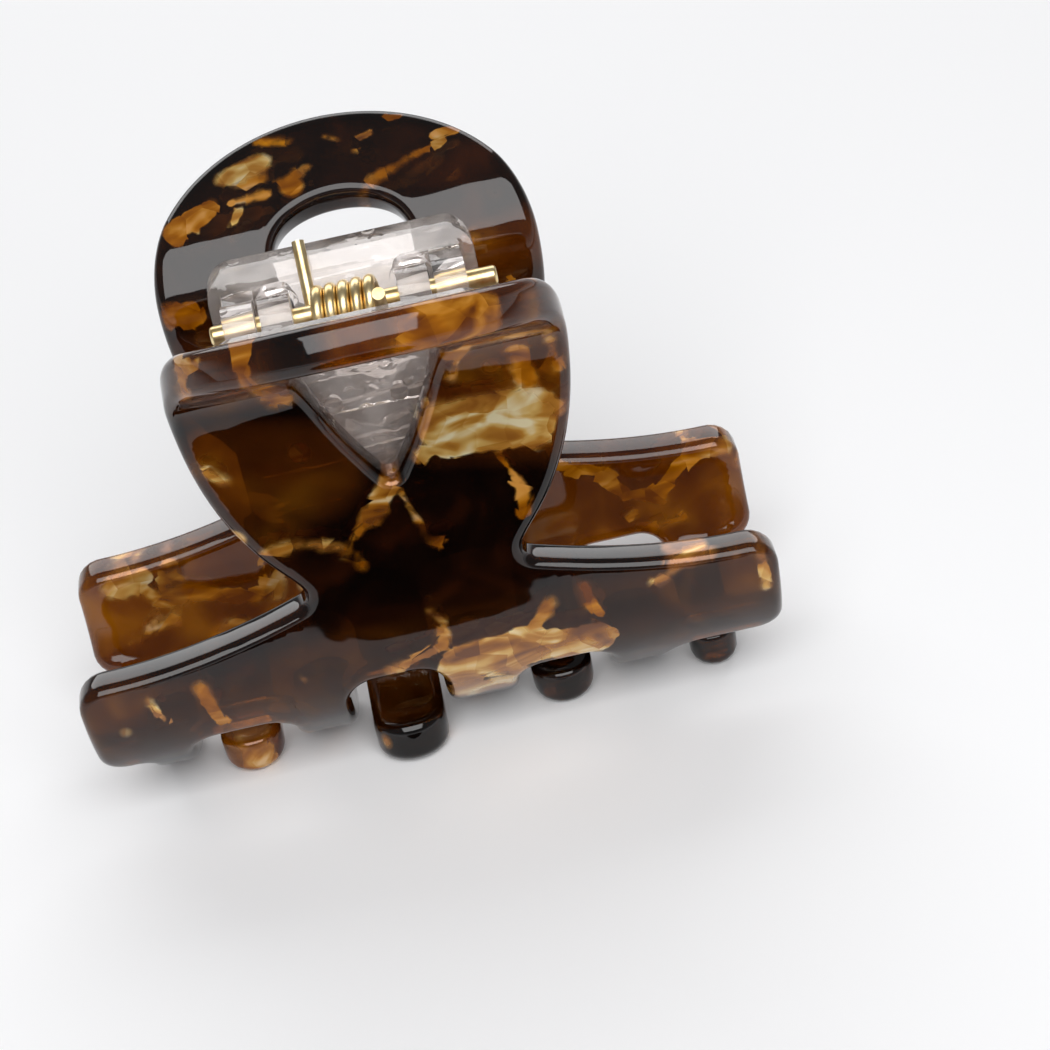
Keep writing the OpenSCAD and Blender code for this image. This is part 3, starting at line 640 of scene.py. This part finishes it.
# ---- Hinge pin -------------------------------------------------------------
# Steel wire pin, gold plated, ends tumbled round. It is pressed into the rear plate.
# The plating follows the fine lines of the drawn wire, so its gloss is soft.
end_r = 0.3 * MM
gold, tree = new_material("gold_plated_steel_wire")
spot = add(tree, "ShaderNodeTexCoord").outputs["Object"]
drawn = add(tree, "ShaderNodeTexNoise", {"Vector": spot, "Scale": 900.0, "Detail": 2.0})
tone = add(tree, "ShaderNodeValToRGB", {"Fac": drawn}, [(0.35, "#e4c486"), (0.65, "#f4e0b0")])
dull = add(tree, "ShaderNodeMapRange", {"Value": drawn, "To Min": 0.26, "To Max": 0.36})
plating = add(tree, "ShaderNodeBsdfPrincipled", {"Base Color": tone, "Metallic": 1.0, "Roughness": dull})
add(tree, "ShaderNodeOutputMaterial", {"Surface": plating})
# half of its section, from the axis out round one end and back, spun about the axis
profile = [(pin_low.x, 0.0)]
profile += [(pin_low.x + end_r * (1 - math.cos(a)), pin_r - end_r * (1 - math.sin(a)))
            for a in np.linspace(0, math.pi / 2, 6)]
profile += [(-x, radius) for x, radius in reversed(profile)]
shape = bmesh.new()
ring = [shape.verts.new((x, radius, pin_z)) for x, radius in profile]
edges = [shape.edges.new(pair) for pair in zip(ring, ring[1:])]
bmesh.ops.spin(shape, geom=ring + edges, cent=(0, 0, pin_z), axis=(1, 0, 0), angle=2 * math.pi, steps=48,
               use_merge=True)
bmesh.ops.remove_doubles(shape, verts=shape.verts, dist=1e-6)
bmesh.ops.recalc_face_normals(shape, faces=shape.faces)
for face in shape.faces:
    face.smooth = True
mesh = bpy.data.meshes.new("hinge_pin_gold")
shape.to_mesh(mesh)
shape.free()
mesh.materials.append(gold)
pin = new_piece("hinge_pin_gold", mesh)
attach(pin, "rear_side")
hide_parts("hinge_pin")

# ---- Torsion spring --------------------------------------------------------
# One length of gold-plated spring wire: a close coil on the pin and two straight
# legs that press on the plates' edges.
# wire's thickness, radius of the coil to the middle of the wire, whole turns
wire_d = 1.05
coil_r = 1.75
turns = 5
# each leg's length, and the angle at which it rises from the coil
leg_len = 6.6
leg_deg = 48.6
spring_low, spring_high = (Vector(c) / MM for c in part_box("torsion_spring"))
coil_half = (spring_high.x - spring_low.x - wire_d) / 2
hinge_x = (spring_high.x + spring_low.x) / 2
# the wire's middle line starts as a straight line of its whole length, and is wound from there
winding, given = shaping_tree("spring_winding", (
    ("Sweep", "Float"), ("Coil radius", "Float"), ("Coil half length", "Float"), ("Leg", "Float"),
    ("First angle", "Float"), ("Coil middle", "Vector"), ("Wire radius", "Float"), ("Metal", "Material")))
coil_run = add(winding, "ShaderNodeMath", {0: given["Sweep"], 1: given["Coil radius"]}, operation="MULTIPLY")
line_end = add(winding, "ShaderNodeMath", {0: coil_run, 1: given["Leg"]}, operation="ADD")
line_start = add(winding, "ShaderNodeMath", {0: given["Leg"], 1: -1.0}, operation="MULTIPLY")
line = add(winding, "GeometryNodeCurvePrimitiveLine", {
    "Start": add(winding, "ShaderNodeCombineXYZ", {"X": line_start}),
    "End": add(winding, "ShaderNodeCombineXYZ", {"X": line_end})})
cut = add(winding, "GeometryNodeResampleCurve", {"Curve": line, "Count": 360})
run = add(winding, "ShaderNodeSeparateXYZ", {"Vector": add(winding, "GeometryNodeInputPosition")})
on_coil = add(winding, "ShaderNodeMapRange",
              {"Value": run, "From Min": 0.0, "From Max": coil_run, "To Min": 0.0, "To Max": coil_run})
beyond = add(winding, "ShaderNodeMath", {0: on_coil, 1: run}, operation="SUBTRACT")
angle = add(winding, "ShaderNodeMath", {0: on_coil, 1: given["Coil radius"]}, operation="DIVIDE")
share = add(winding, "ShaderNodeMath", {0: on_coil, 1: coil_run}, operation="DIVIDE")
across = add(winding, "ShaderNodeMapRange", {"Value": share, "To Min": -1.0, "To Max": 1.0})
x_at = add(winding, "ShaderNodeMath", {0: across, 1: given["Coil half length"]}, operation="MULTIPLY")
spoke = add(winding, "ShaderNodeCombineXYZ", {"X": x_at, "Y": given["Coil radius"], "Z": beyond})
turn_by = add(winding, "ShaderNodeMath", {0: given["First angle"], 1: angle}, operation="SUBTRACT")
wound = add(winding, "ShaderNodeVectorRotate", {"Vector": spoke, "Angle": turn_by}, rotation_type="X_AXIS")
raised = add(winding, "ShaderNodeVectorMath", {0: wound, 1: given["Coil middle"]}, operation="ADD")
coiled = add(winding, "GeometryNodeSetPosition", {"Geometry": cut, "Position": raised})
round_wire = add(winding, "GeometryNodeCurvePrimitiveCircle",
                 {"Resolution": 20, "Radius": given["Wire radius"]})
tube = add(winding, "GeometryNodeCurveToMesh",
           {"Curve": coiled, "Profile Curve": round_wire, "Fill Caps": True})
smooth = add(winding, "GeometryNodeSetShadeSmooth", {"Geometry": tube})
whole = add(winding, "GeometryNodeRealizeInstances", {"Geometry": smooth})
dressed = add(winding, "GeometryNodeSetMaterial", {"Geometry": whole, "Material": given["Metal"]})
add(winding, "NodeGroupOutput", {"Geometry": dressed})
spring = new_piece("torsion_spring_gold", bpy.data.meshes.new("torsion_spring_gold"))
settle(spring, winding, Sweep=math.radians(360 * turns + 2 * leg_deg), Coil_radius=coil_r * MM,
       Coil_half_length=coil_half * MM, Leg=leg_len * MM, First_angle=math.radians(leg_deg - 90),
       Coil_middle=(hinge_x * MM, 0.0, pin_z), Wire_radius=wire_d / 2 * MM, Metal=gold)
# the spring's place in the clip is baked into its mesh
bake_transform(spring)
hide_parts("torsion_spring")

# ---- Table -----------------------------------------------------------------
# White paper on the table. Glossy rays see it painted dark beyond a rounded outline in front of the clip.
# Places here are in metres.
gloss_dark_front = -0.034
gloss_dark_bow = 55.0
table_half = 3
paper, tree = new_material("white_paper_sweep")
glossy = add(tree, "ShaderNodeLightPath").outputs["Is Glossy Ray"]
spot = add(tree, "ShaderNodeSeparateXYZ", {"Vector": add(tree, "ShaderNodeTexCoord").outputs["Object"]})
bow = add(tree, "ShaderNodeMath", {0: spot, 1: spot}, operation="MULTIPLY")
reach = add(tree, "ShaderNodeMath", {0: bow, 1: gloss_dark_bow, 2: spot.outputs["Y"]}, operation="MULTIPLY_ADD")
past = add(tree, "ShaderNodeMath", {0: reach, 1: gloss_dark_front}, operation="LESS_THAN")
gloss_dark = add(tree, "ShaderNodeMath", {0: glossy, 1: past}, operation="MULTIPLY")
shade = add(tree, "ShaderNodeMix", {0: gloss_dark, 6: linear("#fbfbfc"), 7: linear("#1c1817")}, data_type="RGBA")
sheet = add(tree, "ShaderNodeBsdfPrincipled",
            {"Base Color": shade.outputs[2], "Roughness": 0.9, "Specular IOR Level": 0.1})
# far from the lamps the paper is as pale as the room, so that no horizon shows
away = add(tree, "ShaderNodeVectorMath", {0: add(tree, "ShaderNodeTexCoord").outputs["Object"]},
           operation="LENGTH").outputs["Value"]
far = add(tree, "ShaderNodeMapRange", {"Value": away, "From Min": 0.16, "From Max": 0.45},
          interpolation_type="SMOOTHSTEP")
camera_ray = add(tree, "ShaderNodeLightPath").outputs["Is Camera Ray"]
fade = add(tree, "ShaderNodeMath", {0: far, 1: camera_ray}, operation="MULTIPLY")
pale = add(tree, "ShaderNodeEmission", {"Color": linear("#f4f5f8"), "Strength": 1.0})
sweep = add(tree, "ShaderNodeMixShader", {0: fade, 1: sheet, 2: pale})
add(tree, "ShaderNodeOutputMaterial", {"Surface": sweep})
mesh = bpy.data.meshes.new("table")
corners = [(x * table_half, y * table_half, 0) for x, y in ((-1, -1), (1, -1), (1, 1), (-1, 1))]
mesh.from_pydata(corners, [], [(0, 1, 2, 3)])
mesh.materials.append(paper)
table = new_piece("table", mesh)

# ---- Room and lamps --------------------------------------------------------
# A pale room: white where it is seen straight or through plastic, and low down in
# gloss, with a dark ceiling that leaves the polished faces deep brown. One large
# window behind the clip, and one softbox high in front of it, above the camera.
world = bpy.data.worlds.new("studio")
bpy.context.scene.world = world
world.use_nodes = True
tree = world.node_tree
tree.nodes.clear()
path = add(tree, "ShaderNodeLightPath").outputs
up = add(tree, "ShaderNodeSeparateXYZ", {"Vector": add(tree, "ShaderNodeTexCoord").outputs["Generated"]})
wall = add(tree, "ShaderNodeMapRange", {
    "Value": up.outputs["Z"], "From Min": 0.02, "From Max": 0.2, "To Min": 1.0, "To Max": 0.0})
gloss = add(tree, "ShaderNodeMath", {0: path["Is Glossy Ray"], 1: wall}, operation="MULTIPLY")
plain = add(tree, "ShaderNodeMath", {0: path["Is Camera Ray"], 1: path["Is Transmission Ray"]},
            operation="ADD")
seen = add(tree, "ShaderNodeMath", {0: plain, 1: gloss}, operation="MAXIMUM")
level = add(tree, "ShaderNodeMapRange", {"Value": seen, "To Min": 0.2, "To Max": 1.0})
room = add(tree, "ShaderNodeBackground", {"Color": linear("#f4f5f8"), "Strength": level})
add(tree, "ShaderNodeOutputWorld", {"Surface": room})
# each lamp: azimuth and height in degrees, distance, width and height in metres, radiance
for label, azimuth, height, distance, width, tall, radiance in (
        ("window", 90, 36, 0.7, 0.9, 0.42, 2.45), ("softbox", -88, 49, 0.6, 0.6, 0.44, 3.95)):
    lamp = bpy.data.lights.new(label, "AREA")
    lamp.shape = "RECTANGLE"
    lamp.size = width
    lamp.size_y = tall
    lamp.energy = radiance * math.pi * width * tall
    a, h = math.radians(azimuth), math.radians(height)
    at = Vector((math.cos(h) * math.cos(a), math.cos(h) * math.sin(a), math.sin(h)))
    holder = new_piece(label, lamp)
    holder.location = at * distance
    holder.rotation_euler = (-at).to_track_quat("-Z", "Y").to_euler()

# ---- Camera ----------------------------------------------------------------
# A 97 mm lens a quarter of a metre away, above the front jaw and a little to its
# right, tilted so that the bars run down to the left.
eye = bpy.data.cameras.new("camera")
eye.sensor_width = 36
eye.lens = 97.19
camera = new_piece("camera", eye)
camera.location = (0.00606, -0.20119, 0.15514)
camera.rotation_euler = [math.radians(a) for a in (54.8798, 9.747, -7.8917)]
bpy.context.scene.camera = camera
bpy.context.scene.view_settings.view_transform = "Standard"

bpy.context.view_layer.update()
